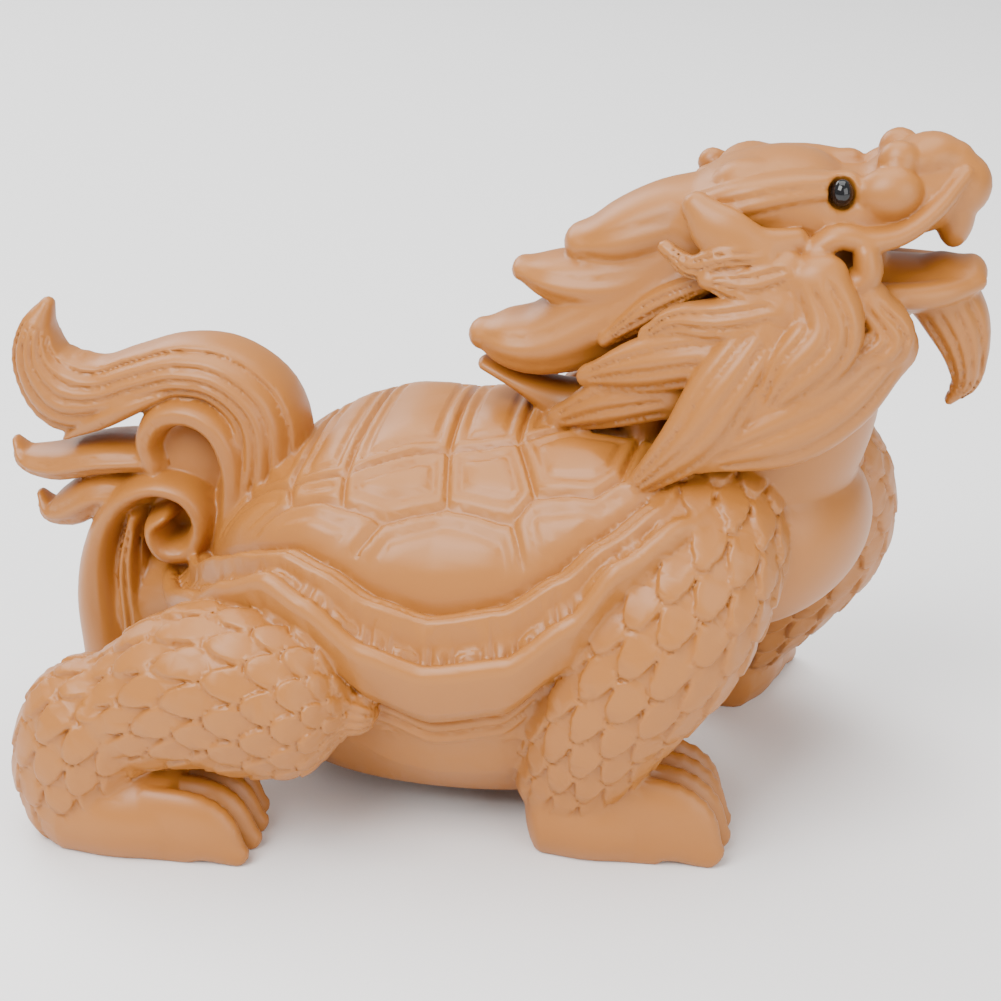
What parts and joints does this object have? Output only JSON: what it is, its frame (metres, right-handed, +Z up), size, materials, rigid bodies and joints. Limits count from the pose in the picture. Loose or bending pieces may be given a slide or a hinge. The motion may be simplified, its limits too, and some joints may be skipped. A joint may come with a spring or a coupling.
{
  "type": "dragon turtle figure",
  "caption": "Carved wooden dragon turtle standing on scaled legs, with a scuted shell, flowing mane, horn, flame tail and inlaid black eyes.",
  "frame": {"origin": "on the ground under the middle of the figure's outline", "axes": "+X towards the head, +Y towards the figure's left side, +Z up"},
  "size_m": [0.1264, 0.0768, 0.0887],
  "materials": {
    "boxwood": "satin, oiled and polished",
    "black_bead": "polished"
  },
  "bodies": {
    "root": {"carved_dragon_turtle": "boxwood", "eye_right": "black_bead", "eye_left": "black_bead"}
  },
  "joints": []
}
